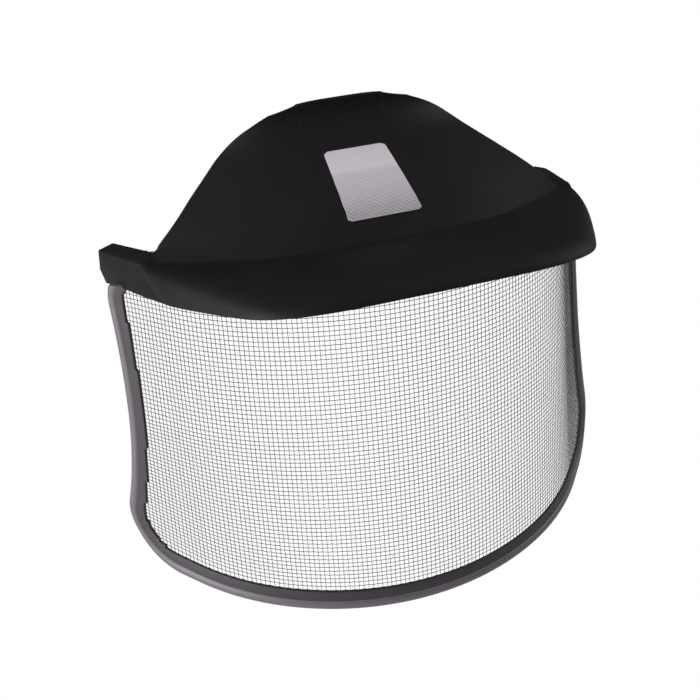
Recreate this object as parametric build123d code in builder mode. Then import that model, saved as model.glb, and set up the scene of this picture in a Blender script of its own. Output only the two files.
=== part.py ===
"""Mesh face shield: a moulded brow guard with a woven wire screen, tilting on two side clips.

Frame: X across the face, Y towards the head, Z up, in millimetres. The origin is the middle of
the tilt axis, which runs along X through both pivots at the rear of the guard's side arms.
"""
from build123d import *
from math import atan2, cos, degrees, hypot, radians, sin, sqrt
import os

os.makedirs("parts", exist_ok=True)

# ---------------------------------------------------------------- screen, seen from above
screen_front_y = -81.0        # foremost line of the wire screen
front_radius = 113.0          # screen radius in front of the nose
front_half_angle = 31.0       # degrees of that arc, each side of the middle
cheek_radius = 97.5           # tighter radius past the cheeks
side_angle = 55.4             # direction of the side panels, degrees from X
screen_opening = 0.10         # share of its wrap that the screen loses down to the bottom
opening_start_z = -10.0       # above this the wrap is held by the guard
opening_depth = 125.0
edge_lift = 8.5               # the bottom edge rises by this at an arc length of 100
screen_thickness = 0.6        # woven cloth over its wire crossings
screen_top = 5.8              # top edge of the screen above the guard's lower edge

# ---------------------------------------------------------------- edge trim, on the side panel
bead_radius = 2.3
flange_depth = 6.2            # from the bead's centre line to the lip of the flange
flange_thickness = 2.0
wire_in_trim = 1.2            # the cloth stops this far inside the bead's centre line
panel_reach = 60.0            # rough length of the side panels before their edge is cut
screen_room = 25.0            # rough height above the origin before the top is cut
screen_floor = -150.0         # rough lower end before the bottom edge is cut
half_room = 130.0             # more than half the shield's width
bottom_z = -141.0             # centre line of the bead in the middle of the bottom
waist_reach = 26.9            # narrowest place of the side edge, along the panel
waist_z = -57.7
waist_radius = 306.0
bottom_corner_radius = 23.2
top_corner_radius = 15.6
top_corner_z = -9.1
top_corner_end = 66.0         # degrees at which the top corner's arc stops

# ---------------------------------------------------------------- brow guard
tilt = 7.3                    # the guard's lower edge falls towards the rear, degrees
base_drop = 3.9               # lower edge of the guard under the tilt axis
wall = 2.0
crease_height = 11.0          # valley between brim and dome above the lower edge
brim_fullness = 2.3           # exponent of the brim's rounded section
brim_levels = (0.0, 4.0, 7.6, 10.0, 11.0)
brim_edge = ((45, -107.9), (65, -100), (76, -86.5), (85, -69.1), (93, -50.9), (100, -27))
brim_crease = ((30, -61), (48, -57.5), (62, -52.4), (74, -47.5), (85, -40), (92, -27))
edge_front_y = -109.4
crease_front_y = -62.4
flat_half_width = 18.0        # flat middle panel of the dome
dome_levels = (10.2, 17.0, 26.0, 36.0, 48.0, 60.0)
dome_arc_angle = 64.0
rim_top = (5.0, 59.4)         # middle of the dome's rear rim: y, height above the lower edge
rim_slope = 0.65              # the rim plane leans forward going down
web_thickness = 1.8
web_heights = (1.0, 9.6)      # of the web that carries the screen

# ---------------------------------------------------------------- side arms, right side, from above
arm_base = ((96, -33), (100, -27), (106.4, 11), (99.4, 11), (90.4, -27), (87.6, -33))
arm_crest = ((91, -33), (96.2, -27), (105.6, 11), (98.6, 11), (89.4, -27), (87.2, -33))
arm_low = -3.2                # heights of those two outlines above the guard's lower edge
arm_high = 14.6
arm_top_points = ((89.7, -25.0, 14.0), (98.9, 9.8, 12.9), (105.6, 11.1, 10.7))
arm_fall = 4.5                # the arm's underside falls towards the rear, degrees
arm_zone_start = -7.0         # behind this the cloth and the trim end under the arms
arm_zone_length = 64.0
arm_zone_height = 40.0
arm_heel = (5.0, 11.0)        # the lower rear corner is cut off between these
arm_heel_rise = 4.2
arm_heel_low = -2.5           # height of the cut's front end
arm_socket = ((100.4, 4.5), (102.6, 4.5), (104.1, 12), (101.0, 12))
arm_pocket = ((92.4, -24), (95.4, -24), (99.0, -9.5), (95.4, -9.5))
arm_wall = 1.6
arm_socket_depth = 7.6
arm_pocket_top = 9.0

# ---------------------------------------------------------------- pivots, right side; the left is mirrored
boss_face_x = 94.0
boss_root_x = 99.0            # inside the arm
boss_radius = 6.8
insert_radius = 2.6
insert_depth = 4.4
screw_thread_radius = 1.8
shoulder_radius = 2.5
screw_head_radius = 4.6
screw_head_height = 2.0
friction_washer_thickness = 0.8
clip_thickness = 6.0
clip_hub_radius = 5.4
wave_washer_thickness = 0.7
running_gap = 0.06            # shoulder in the clip's bore, radial
face_gap = 0.1                # clip between its washers, each side
wire_bore_radius = 2.05       # takes a 4 mm headgear wire
wire_bore_length = 8.5
wire_z = -1.9                 # the wire bore lies under the tilt axis
clip_rear_y = 12.0
clip_low_z = -6.4
clip_top_z = 1.2
clip_edge_radius = 1.0
grub_radius = 1.5
grub_length = 2.6
grub_setback = 4.5            # from the clip's rear end
grub_hole_depth = 8.0
grub_socket = (0.8, 1.2)      # radius over the corners and depth of the hexagon
screw_socket = (1.7, 1.4)
screw_edge_radius = 0.5
thread_end_gap = 0.6          # between the screw's tip and the end of its insert

# ---------------------------------------------------------------- screen fastening
rivet_angles = (-52, -36, -18, 0, 18, 36, 52)
rivet_radius = 1.4
rivet_head_radius = 2.3
rivet_head_height = 1.2
rivet_tail_radius = 2.0
rivet_tail_height = 1.0
rivet_cut = 5.0               # half length of the tool that opens the rivet holes
rivet_taper = 25.0
rivet_height = 3.2            # rivets sit this far above the guard's lower edge
washer_thickness = 0.6
retainer_thickness = 1.4
retainer_low = 0.8
retainer_high = 5.6
retainer_end_y = -43.0         # the strip stops short of the arms
washer_seat_gap = 0.04        # flat washer on the strip's hollow side

# ---------------------------------------------------------------- label plate
label_top_width = 27.2
label_bottom_width = 31.4
label_thickness = 0.6
label_corner = 1.8
label_heights = (18.8, 41.3)   # lower and upper edge above the guard's lower edge

# ---------------------------------------------------------------- shared places
guard_plane = Plane(origin=(0, 0, 0), x_dir=(1, 0, 0),
                    z_dir=(0, sin(radians(tilt)), cos(radians(tilt)))).offset(-base_drop)

front_centre = (0, screen_front_y + front_radius)
radius_step = front_radius - cheek_radius
cheek_centre = (radius_step * sin(radians(front_half_angle)),
                front_centre[1] - radius_step * cos(radians(front_half_angle)))
cheek_start = front_radius * radians(front_half_angle)
panel_start = cheek_start + cheek_radius * radians(side_angle - front_half_angle)
waist_centre = panel_start + waist_reach + waist_radius


def corner_place(z, radius):
    """Arc length of a corner arc's centre that touches the waist arc, and its turn in degrees."""
    drop = z - waist_z
    span = sqrt((waist_radius + radius) ** 2 - drop ** 2)
    return waist_centre - span, degrees(atan2(-drop, span))


def wrap_at(z):
    """Share of the full wrap at a height: the screen opens below the guard."""
    return 1 - screen_opening * max(0.0, opening_start_z - z) / opening_depth


def screen_point(arc, z):
    """Point of the screen at an arc length from its middle and a height."""
    wrap = wrap_at(z)
    first = wrap * min(arc, cheek_start) / front_radius
    turn = first + wrap * max(0.0, min(arc, panel_start) - cheek_start) / cheek_radius
    straight = max(0.0, arc - panel_start)
    front = front_radius / wrap
    cheek = cheek_radius / wrap
    x = front * sin(first) + cheek * (sin(turn) - sin(first)) + straight * cos(turn)
    y = front * (1 - cos(first)) + cheek * (cos(first) - cos(turn)) + straight * sin(turn)
    return x, screen_front_y + y


def edge_points(inset):
    """Right half of the screen's edge, middle of the bottom to the top, moved inwards."""
    low_z = bottom_z + bottom_corner_radius
    low_arc, low_turn = corner_place(low_z, bottom_corner_radius)
    top_arc, top_turn = corner_place(top_corner_z, top_corner_radius)
    places = [(low_arc * step / 7, bottom_z + inset) for step in range(7)]
    arcs = ((low_arc, low_z, bottom_corner_radius - inset, -90, low_turn, 7),
            (waist_centre, waist_z, waist_radius + inset, 180 + low_turn, 180 + top_turn, 6),
            (top_arc, top_corner_z, top_corner_radius - inset, top_turn, top_corner_end, 6))
    for arc, z, radius, start, stop, count in arcs:
        for step in range(count):
            angle = radians(start + (stop - start) * step / count)
            places.append((arc + radius * cos(angle), z + radius * sin(angle)))
    points = []
    for arc, z in places:
        fade = min(1.0, max(0.0, (-z - 60) / 70))
        x, y = screen_point(arc, z)
        points.append((x, y, z + edge_lift * (arc / 100) ** 2 * fade))
    return points


def screen_chain(offset, z):
    """Front arc and both cheek arcs of the screen's plan at a height, moved outwards by an offset."""
    wrap = wrap_at(z)
    half = wrap * front_half_angle
    step = radius_step / wrap
    middle = (0, screen_front_y + front_radius / wrap)
    side = (step * sin(radians(half)), middle[1] - step * cos(radians(half)))
    CenterArc(middle, front_radius / wrap + offset, -90 - half, 2 * half)
    cheek = CenterArc(side, cheek_radius / wrap + offset, -90 + half, wrap * side_angle - half)
    mirror(cheek, about=Plane.YZ)
    return cheek @ 1


def screen_band(inner, outer, z, reach=0.0):
    """Closed plan between two offsets of the screen, with panels that run on by a reach."""
    heading = radians(wrap_at(z) * side_angle)
    along = Vector(cos(heading), sin(heading)) * reach
    with BuildLine() as outline:
        inner_end = screen_chain(inner, z)
        outer_end = screen_chain(outer, z)
        if reach > 0:
            cap = Polyline(inner_end, inner_end + along, outer_end + along, outer_end)
        else:
            cap = Line(inner_end, outer_end)
        mirror(cap, about=Plane.YZ)
    make_face(outline.edges())


def side_region(inset):
    """The screen's side view inside its edge, open to the front and above."""
    side = [(y, z) for x, y, z in edge_points(inset)]
    low = (side[0][0] - 50, side[0][1])
    with BuildLine() as outline:
        Spline(*side, tangents=((1, 0), (-0.9, 0.45)))
        Polyline(side[-1], (side[-1][0], screen_room), (low[0], screen_room), low, side[0])
    make_face(outline.edges())


def brim_outline(points, front_y):
    """Closed brim section: a smooth curve through the points, their mirror image and a rear line."""
    right = [(x, y) for x, y in points]
    left = [(-x, y) for x, y in reversed(points)]
    with BuildLine() as outline:
        Spline(*left, (0, front_y), *right)
        Line(right[-1], left[0])
    make_face(outline.edges())


def brim_section(height, inset):
    """Points of the brim's section at a height: a superellipse between crease and lower edge."""
    weight = (1 - min(1.0, height / crease_height) ** brim_fullness) ** (1 / brim_fullness)
    points = []
    for (edge_x, edge_y), (crease_x, crease_y) in zip(brim_edge, brim_crease):
        x = crease_x + (edge_x - crease_x) * weight
        y = crease_y + (edge_y - crease_y) * weight
        length = hypot(x, y + 20)
        points.append((x * (1 - inset / length), y - (y + 20) * inset / length))
    front_y = crease_front_y + (edge_front_y - crease_front_y) * weight + inset
    return points, front_y


def dome_front(height):
    """Middle of the dome seen from the side: it rises from the crease and leans back."""
    rise = height - 10.8
    return -63.8 + 1.085 * rise + 0.0068 * rise ** 2


def dome_section(height, clearance):
    """Closed dome section: flat front, round sides of a radius that grows downwards, rear line."""
    front_y = dome_front(height)
    radius = 42.0 + 0.026 * (56.0 - height) ** 2
    with BuildLine() as outline:
        Line((-flat_half_width, front_y), (flat_half_width, front_y))
        side = CenterArc((flat_half_width, front_y + radius), radius, -90, dome_arc_angle)
        tail = Line(side @ 1, side @ 1 + Vector(0, clearance))
        mirror(side, about=Plane.YZ)
        mirror(tail, about=Plane.YZ)
        Line(tail @ 1, (-(tail @ 1).X, (tail @ 1).Y))
    make_face(outline.edges())


def on_guard(origin, z_dir):
    """Plane given in the guard's own tilted frame."""
    return Plane(guard_plane.location * Plane(origin=origin, x_dir=(1, 0, 0), z_dir=z_dir).location)


def guard_level(height, y):
    """World Z of a height above the guard's lower edge at a world Y."""
    return (height - base_drop - y * sin(radians(tilt))) / cos(radians(tilt))


def rivet_plane(angle):
    """Plane on the screen at a wrap angle, looking straight out of it."""
    centre, radius = (front_centre, front_radius)
    if abs(angle) > front_half_angle:
        centre = (cheek_centre[0] * (1 if angle > 0 else -1), cheek_centre[1])
        radius = cheek_radius
    out = (sin(radians(angle)), -cos(radians(angle)), 0)
    x, y = centre[0] + radius * out[0], centre[1] + radius * out[1]
    return Plane(origin=(x, y, guard_level(rivet_height, y)), x_dir=(-out[1], out[0], 0), z_dir=out)


rim_plane = on_guard((0, rim_top[0], rim_top[1]), (0, 1, -rim_slope))
under_arm = on_guard((0, -27, 0), (0, sin(radians(arm_fall)), cos(radians(arm_fall))))
rivet_planes = [rivet_plane(angle) for angle in rivet_angles]
web_inner = screen_thickness / 2 + 0.1
web_outer = web_inner + web_thickness
retainer_outer = -web_inner
retainer_inner = retainer_outer - retainer_thickness

# ---------------------------------------------------------------- brow guard, outer and inner form
dome_drop = wall / cos(radians(37))
with BuildPart() as dome_outer:
    for level in dome_levels:
        with BuildSketch(guard_plane.offset(level)):
            dome_section(level, 1.0)
    loft()
    split(bisect_by=rim_plane, keep=Keep.BOTTOM)

with BuildPart() as guard_outer:
    for level in brim_levels:
        with BuildSketch(guard_plane.offset(level)):
            brim_outline(*brim_section(level, 0.0))
    loft()
    add(dome_outer.part)

with BuildPart() as guard_inner:
    for level in brim_levels:
        with BuildSketch(guard_plane.offset(level - wall)):
            brim_outline(*brim_section(level, wall))
    loft()
    for level in dome_levels:
        with BuildSketch(guard_plane.offset(level - dome_drop)):
            dome_section(level, 30.0)
    loft()

# ---------------------------------------------------------------- web that the screen is riveted to
with BuildPart() as web:
    with BuildSketch(Plane.XY.offset(opening_start_z)):
        screen_band(web_inner, web_outer, opening_start_z)
    extrude(amount=screen_room - opening_start_z)
    split(bisect_by=guard_plane.offset(web_heights[0]), keep=Keep.TOP)
    split(bisect_by=guard_plane.offset(web_heights[1]), keep=Keep.BOTTOM)
    add(guard_outer.part, mode=Mode.INTERSECT)
    for plane in rivet_planes:
        with BuildSketch(plane):
            Circle(rivet_radius)
        extrude(amount=rivet_cut, both=True, mode=Mode.SUBTRACT)

# ---------------------------------------------------------------- side arm with its pivot boss, right side
arm_top_normal = (Vector(*arm_top_points[1]) - Vector(*arm_top_points[0])).cross(
    Vector(*arm_top_points[2]) - Vector(*arm_top_points[0]))
arm_top_plane = on_guard(arm_top_points[0], arm_top_normal)
heel_plane = on_guard((0, arm_heel[0], arm_heel_low), (0, arm_heel_rise, arm_heel[0] - arm_heel[1]))
with BuildPart() as arm:
    with BuildSketch(guard_plane.offset(arm_low)):
        with BuildLine():
            Polyline(*arm_base, close=True)
        make_face()
    with BuildSketch(guard_plane.offset(arm_high)):
        with BuildLine():
            Polyline(*arm_crest, close=True)
        make_face()
    loft()
    split(bisect_by=arm_top_plane, keep=Keep.TOP if arm_top_normal.Z < 0 else Keep.BOTTOM)
    split(bisect_by=under_arm, keep=Keep.TOP)
    split(bisect_by=heel_plane, keep=Keep.BOTTOM)
    with BuildSketch(guard_plane.offset(arm_wall)):
        with BuildLine():
            Polyline(*arm_socket, close=True)
        make_face()
    extrude(amount=arm_socket_depth, mode=Mode.SUBTRACT)
    with BuildSketch(guard_plane.offset(arm_low)):
        with BuildLine():
            Polyline(*arm_pocket, close=True)
        make_face()
    extrude(amount=arm_pocket_top - arm_low, mode=Mode.SUBTRACT)
    with BuildSketch(Plane.YZ.offset(boss_face_x)):
        Circle(boss_radius)
    extrude(amount=boss_root_x - boss_face_x)
    with BuildSketch(Plane.YZ.offset(boss_face_x)):
        Circle(insert_radius)
    extrude(amount=insert_depth, mode=Mode.SUBTRACT)

with BuildPart() as brow_guard:
    add(guard_outer.part)
    add(guard_inner.part, mode=Mode.SUBTRACT)
    add(web.part)
    add(arm.part)
    mirror(arm.part, about=Plane.YZ)

# ---------------------------------------------------------------- label plate, let into the dome's flat panel
label_low = Vector(0, dome_front(label_heights[0]), label_heights[0])
label_high = Vector(0, dome_front(label_heights[1]), label_heights[1])
label_up = (label_high - label_low).normalized()
label_out = Vector(0, -label_up.Z, label_up.Y)
label_plane = on_guard((label_low + label_high) * 0.5 + label_out * 0.15, label_out)
label_length = (label_high - label_low).length
with BuildPart() as label_plate:
    with BuildSketch(label_plane):
        with BuildLine():
            Polyline((-label_bottom_width / 2, -label_length / 2),
                     (label_bottom_width / 2, -label_length / 2),
                     (label_top_width / 2, label_length / 2),
                     (-label_top_width / 2, label_length / 2), close=True)
        make_face()
        fillet(vertices(), label_corner)
    extrude(amount=label_thickness)
with BuildPart() as label_seat:
    add(label_plate.part)
    extrude(label_plate.faces().sort_by(Axis(label_plane.origin, label_plane.z_dir))[-1], amount=3)
with brow_guard:
    add(label_seat.part, mode=Mode.SUBTRACT)

# ---------------------------------------------------------------- woven screen
with BuildPart() as mesh_screen:
    with BuildSketch(Plane.XY.offset(opening_start_z)):
        screen_band(-screen_thickness / 2, screen_thickness / 2, opening_start_z, panel_reach)
    extrude(amount=screen_room - opening_start_z)
    for level in (opening_start_z, screen_floor):
        with BuildSketch(Plane.XY.offset(level)):
            screen_band(-screen_thickness / 2, screen_thickness / 2, level, panel_reach)
    loft(ruled=True)
    with BuildSketch(Plane.YZ):
        side_region(wire_in_trim)
    extrude(amount=half_room, both=True, mode=Mode.INTERSECT)
    split(bisect_by=guard_plane.offset(screen_top), keep=Keep.BOTTOM)
    for plane in rivet_planes:
        with BuildSketch(plane):
            Circle(rivet_radius)
        extrude(amount=rivet_cut, both=True, mode=Mode.SUBTRACT)

with BuildPart() as above_trim:
    with BuildSketch(under_arm.offset(-0.1)):
        with Locations((0, arm_zone_start)):
            Rectangle(2 * half_room, arm_zone_length, align=(Align.CENTER, Align.MIN))
    extrude(amount=arm_zone_height)
with mesh_screen:
    add(above_trim.part, mode=Mode.SUBTRACT)
    add(brow_guard.part, mode=Mode.SUBTRACT)

# ---------------------------------------------------------------- edge trim: round bead and flat flange
with BuildPart() as edge_trim:
    with BuildSketch(Plane.XY.offset(opening_start_z)):
        screen_band(-flange_thickness / 2, flange_thickness / 2, opening_start_z, panel_reach)
    extrude(amount=screen_room - opening_start_z)
    for level in (opening_start_z, screen_floor):
        with BuildSketch(Plane.XY.offset(level)):
            screen_band(-flange_thickness / 2, flange_thickness / 2, level, panel_reach)
    loft(ruled=True)
    with BuildSketch(Plane.YZ):
        side_region(0)
    extrude(amount=half_room, mode=Mode.INTERSECT)
    with BuildSketch(Plane.YZ):
        side_region(flange_depth)
    extrude(amount=half_room, mode=Mode.SUBTRACT)
    with BuildLine() as bead_path:
        Spline(*edge_points(0), tangents=((1, 0, 0), (-0.3, -0.6, 0.7)))
    with BuildSketch(Plane(origin=bead_path.line @ 0, z_dir=(1, 0, 0))):
        Circle(bead_radius)
    sweep(path=bead_path.line)
    mirror(about=Plane.YZ)
    add(above_trim.part, mode=Mode.SUBTRACT)
    add(mesh_screen.part, mode=Mode.SUBTRACT)

# ---------------------------------------------------------------- retaining strip behind the screen
with BuildPart() as screen_retainer:
    with BuildSketch(Plane.XY.offset(opening_start_z)):
        screen_band(retainer_inner, retainer_outer, opening_start_z)
    extrude(amount=screen_room - opening_start_z)
    split(bisect_by=guard_plane.offset(retainer_low), keep=Keep.TOP)
    split(bisect_by=guard_plane.offset(retainer_high), keep=Keep.BOTTOM)
    split(bisect_by=Plane(origin=(0, retainer_end_y, 0), z_dir=(0, 1, 0)), keep=Keep.BOTTOM)
    for plane in rivet_planes:
        with BuildSketch(plane):
            Circle(rivet_radius)
        extrude(amount=rivet_cut, both=True, mode=Mode.SUBTRACT)

washer_seat = retainer_inner - washer_seat_gap
with BuildPart() as rivet_washers:
    for plane in rivet_planes:
        with BuildSketch(plane.offset(washer_seat)):
            Circle(rivet_head_radius)
            Circle(rivet_radius, mode=Mode.SUBTRACT)
        extrude(amount=-washer_thickness)

with BuildPart() as screen_rivets:
    for plane in rivet_planes:
        inner_end = washer_seat - washer_thickness
        with BuildSketch(plane.offset(inner_end)):
            Circle(rivet_radius)
        extrude(amount=web_outer - inner_end)
        with BuildSketch(plane.offset(web_outer)):
            Circle(rivet_head_radius)
        extrude(amount=rivet_head_height, taper=rivet_taper)
        with BuildSketch(plane.offset(inner_end)):
            Circle(rivet_tail_radius)
        extrude(amount=-rivet_tail_height, taper=rivet_taper)

# ---------------------------------------------------------------- pivots: the stack from the boss inwards
washer_x = boss_face_x - friction_washer_thickness
clip_outer_x = washer_x - face_gap
clip_inner_x = clip_outer_x - clip_thickness
wave_x = clip_inner_x - face_gap
head_x = wave_x - wave_washer_thickness
wire_x = (clip_outer_x + clip_inner_x) / 2
grub_y = clip_rear_y - grub_setback
grub_tip_z = wire_z - wire_bore_radius - 0.05

with BuildPart() as right_insert:
    with BuildSketch(Plane.YZ.offset(boss_face_x)):
        Circle(insert_radius)
        Circle(screw_thread_radius, mode=Mode.SUBTRACT)
    extrude(amount=insert_depth)

with BuildPart() as right_pivot_screw:
    with BuildSketch(Plane.YZ.offset(boss_face_x)):
        Circle(screw_thread_radius)
    extrude(amount=insert_depth - thread_end_gap)
    with BuildSketch(Plane.YZ.offset(boss_face_x)):
        Circle(shoulder_radius)
    extrude(amount=head_x - boss_face_x)
    with BuildSketch(Plane.YZ.offset(head_x)):
        Circle(screw_head_radius)
    extrude(amount=-screw_head_height)
    with BuildSketch(Plane.YZ.offset(head_x - screw_head_height)):
        RegularPolygon(radius=screw_socket[0], side_count=6)
    extrude(amount=screw_socket[1], mode=Mode.SUBTRACT)
    head_edge = right_pivot_screw.edges().filter_by(GeomType.CIRCLE).sort_by(Axis.X)[0]
    fillet(head_edge, screw_edge_radius)

with BuildPart() as right_friction_washer:
    with BuildSketch(Plane.YZ.offset(washer_x)):
        Circle(clip_hub_radius)
        Circle(shoulder_radius, mode=Mode.SUBTRACT)
    extrude(amount=friction_washer_thickness)

with BuildPart() as right_wave_washer:
    with BuildSketch(Plane.YZ.offset(head_x)):
        Circle(clip_hub_radius - 1.2)
        Circle(shoulder_radius, mode=Mode.SUBTRACT)
    extrude(amount=wave_washer_thickness)

with BuildPart() as right_pivot_clip:
    with BuildSketch(Plane.YZ.offset(clip_inner_x)):
        Circle(clip_hub_radius)
        with Locations((clip_rear_y / 2, (clip_low_z + clip_top_z) / 2)):
            Rectangle(clip_rear_y, clip_top_z - clip_low_z)
    extrude(amount=clip_thickness)
    fillet(right_pivot_clip.edges().filter_by(Axis.X).group_by(Axis.Y)[-1], clip_edge_radius)
    with BuildSketch(Plane.YZ.offset(clip_inner_x)):
        Circle(shoulder_radius + running_gap)
    extrude(amount=clip_thickness, mode=Mode.SUBTRACT)
    with BuildSketch(Plane(origin=(wire_x, clip_rear_y, wire_z), z_dir=(0, -1, 0))):
        Circle(wire_bore_radius)
    extrude(amount=wire_bore_length, mode=Mode.SUBTRACT)
    with BuildSketch(Plane(origin=(wire_x, grub_y, wire_z), z_dir=(0, 0, -1))):
        Circle(grub_radius)
    extrude(amount=grub_hole_depth, mode=Mode.SUBTRACT)

with BuildPart() as right_grub_screw:
    with BuildSketch(Plane(origin=(wire_x, grub_y, grub_tip_z), z_dir=(0, 0, -1))):
        Circle(grub_radius)
    extrude(amount=grub_length)
    with BuildSketch(Plane(origin=(wire_x, grub_y, grub_tip_z - grub_length), z_dir=(0, 0, 1))):
        RegularPolygon(radius=grub_socket[0], side_count=6)
    extrude(amount=grub_socket[1], mode=Mode.SUBTRACT)

# ---------------------------------------------------------------- the pieces
pieces = {
    "brow_guard": brow_guard.part,
    "label_plate": label_plate.part,
    "mesh_screen": mesh_screen.part,
    "edge_trim": edge_trim.part,
    "screen_retainer": screen_retainer.part,
    "screen_rivets": screen_rivets.part,
    "rivet_washers": rivet_washers.part,
}
right_hardware = {
    "pivot_insert": right_insert.part,
    "pivot_screw": right_pivot_screw.part,
    "friction_washer": right_friction_washer.part,
    "wave_washer": right_wave_washer.part,
    "pivot_clip": right_pivot_clip.part,
    "grub_screw": right_grub_screw.part,
}
for name, solid in right_hardware.items():
    pieces["right_" + name] = solid
    pieces["left_" + name] = mirror(solid, about=Plane.YZ, mode=Mode.PRIVATE)

for name, solid in pieces.items():
    solid.label = name
    export_step(solid, "parts/" + name + ".step")
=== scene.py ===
import logging
from dataclasses import dataclass, field
from enum import Enum
from math import cos, pi, radians, sin, sqrt, tan

import bpy
import numpy as np
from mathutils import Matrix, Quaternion, Vector


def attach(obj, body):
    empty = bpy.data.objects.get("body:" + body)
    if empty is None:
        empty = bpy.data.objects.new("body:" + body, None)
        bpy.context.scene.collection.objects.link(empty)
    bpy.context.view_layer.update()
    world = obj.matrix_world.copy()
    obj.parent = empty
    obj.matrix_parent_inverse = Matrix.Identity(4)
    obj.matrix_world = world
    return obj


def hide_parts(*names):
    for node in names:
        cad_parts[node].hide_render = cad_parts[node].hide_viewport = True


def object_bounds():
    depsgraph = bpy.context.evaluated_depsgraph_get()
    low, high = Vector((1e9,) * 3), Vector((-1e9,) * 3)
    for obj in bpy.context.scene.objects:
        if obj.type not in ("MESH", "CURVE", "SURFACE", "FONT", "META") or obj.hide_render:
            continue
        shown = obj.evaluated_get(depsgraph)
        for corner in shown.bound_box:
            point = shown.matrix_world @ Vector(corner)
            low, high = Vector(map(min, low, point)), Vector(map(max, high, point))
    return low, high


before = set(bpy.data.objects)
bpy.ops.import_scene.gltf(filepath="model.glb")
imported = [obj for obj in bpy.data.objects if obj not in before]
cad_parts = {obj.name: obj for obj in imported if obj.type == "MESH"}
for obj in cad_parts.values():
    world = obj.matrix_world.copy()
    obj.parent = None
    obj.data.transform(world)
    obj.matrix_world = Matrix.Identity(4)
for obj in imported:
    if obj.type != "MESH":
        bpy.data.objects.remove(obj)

CAD_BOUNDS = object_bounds()
MM = 0.001
VISOR = "visor"
log = logging.getLogger("face_shield")
logging.basicConfig(level=logging.INFO, format="%(name)s: %(message)s")


class Side(Enum):
    """The two sides of the shield, as signs of X."""

    LEFT = -1
    RIGHT = 1


# ------------------------------------------------------------------ shader arithmetic


class Value:
    """A number socket that takes part in Python arithmetic by adding Math nodes."""

    def __init__(self, shader: "Shader", socket: bpy.types.NodeSocket) -> None:
        """Keep the material under construction and its output socket that carries one number."""
        self.shader = shader
        self.socket = socket

    def _math(self, operation: str, first: object, second: object = None) -> "Value":
        """Add one Math node over numbers or Values."""
        inputs = {0: first} if second is None else {0: first, 1: second}
        return self.shader.value("ShaderNodeMath", "Value", inputs, operation=operation)

    def __add__(self, other: object) -> "Value":
        """Sum."""
        return self._math("ADD", self, other)

    def __radd__(self, other: object) -> "Value":
        """Sum with a number on the left."""
        return self._math("ADD", other, self)

    def __sub__(self, other: object) -> "Value":
        """Difference."""
        return self._math("SUBTRACT", self, other)

    def __mul__(self, other: object) -> "Value":
        """Product."""
        return self._math("MULTIPLY", self, other)

    def ramp(self, low: float, high: float) -> "Value":
        """Linear rise from zero at low to one at high, clamped."""
        inputs = {0: self, 1: low, 2: high, 3: 0.0, 4: 1.0}
        return self.shader.value("ShaderNodeMapRange", "Result", inputs, clamp=True)

    def sine(self) -> "Value":
        """Sine of this value in radians."""
        return self._math("SINE", self)


class Shader:
    """One procedural material around a Principled surface."""

    def __init__(self, name: str) -> None:
        """Start the material.

        Args:
            name: Name of the material.
        """
        self.material = bpy.data.materials.new(name)
        self.material.use_nodes = True
        self.nodes = self.material.node_tree.nodes
        self.links = self.material.node_tree.links
        self.surface = self.nodes["Principled BSDF"]

    def node(self, kind: str, inputs: dict, **settings: object) -> bpy.types.Node:
        """Add a node, its settings first and its inputs after.

        Args:
            kind: The node's type.
            inputs: Socket name or index to a number, tuple, Value or output socket.
            **settings: Properties of the node.

        Returns:
            The new node.
        """
        made = self.nodes.new(kind)
        for key, setting in settings.items():
            setattr(made, key, setting)
        for key, given in inputs.items():
            self.feed(made.inputs[key], given)
        return made

    def feed(self, socket: bpy.types.NodeSocket, given: object) -> None:
        """Link a Value or socket into an input, or set its number."""
        if isinstance(given, Value):
            self.links.new(given.socket, socket)
        elif isinstance(given, bpy.types.NodeSocket):
            self.links.new(given, socket)
        else:
            socket.default_value = given

    def value(self, kind: str, output: str, inputs: dict, **settings: object) -> Value:
        """Add a node and wrap one of its number outputs."""
        return Value(self, self.node(kind, inputs, **settings).outputs[output])

    def coordinates(self, output: str = "Object") -> bpy.types.NodeSocket:
        """Object or UV coordinates."""
        return self.node("ShaderNodeTexCoord", {}).outputs[output]

    def noise(self, vector: object, scale: float, detail: float = 3.0, roughness: float = 0.5) -> Value:
        """Fractal noise from zero to one."""
        inputs = {"Vector": vector, "Scale": scale, "Detail": detail, "Roughness": roughness}
        return self.value("ShaderNodeTexNoise", "Fac", inputs)

    def stretched(self, vector: object, scale: tuple) -> bpy.types.NodeSocket:
        """Coordinates scaled along each axis."""
        return self.node("ShaderNodeMapping", {"Vector": vector, "Scale": scale}).outputs["Vector"]

    def blend(self, factor: object, first: object, second: object) -> bpy.types.NodeSocket:
        """Mix two colours."""
        made = self.node("ShaderNodeMix", {}, data_type="RGBA")
        self.feed(made.inputs[0], factor)
        self.feed(made.inputs[6], first)
        self.feed(made.inputs[7], second)
        return made.outputs[2]

    def bump(self, height: Value, distance: float, strength: float = 1.0) -> None:
        """Feed the surface's normal from a height."""
        inputs = {"Height": height, "Distance": distance, "Strength": strength}
        self.feed(self.surface.inputs["Normal"], self.node("ShaderNodeBump", inputs).outputs["Normal"])

    def set(self, **inputs: object) -> None:
        """Set inputs of the Principled surface, with underscores for spaces."""
        for key, given in inputs.items():
            self.feed(self.surface.inputs[key.replace("_", " ")], given)


def grey(level: float, warm: float = 0.0) -> tuple:
    """A nearly neutral linear colour with alpha, whose red and blue exceed green by a share."""
    return (level * (1 + warm), level, level * (1 + warm), 1.0)


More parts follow.
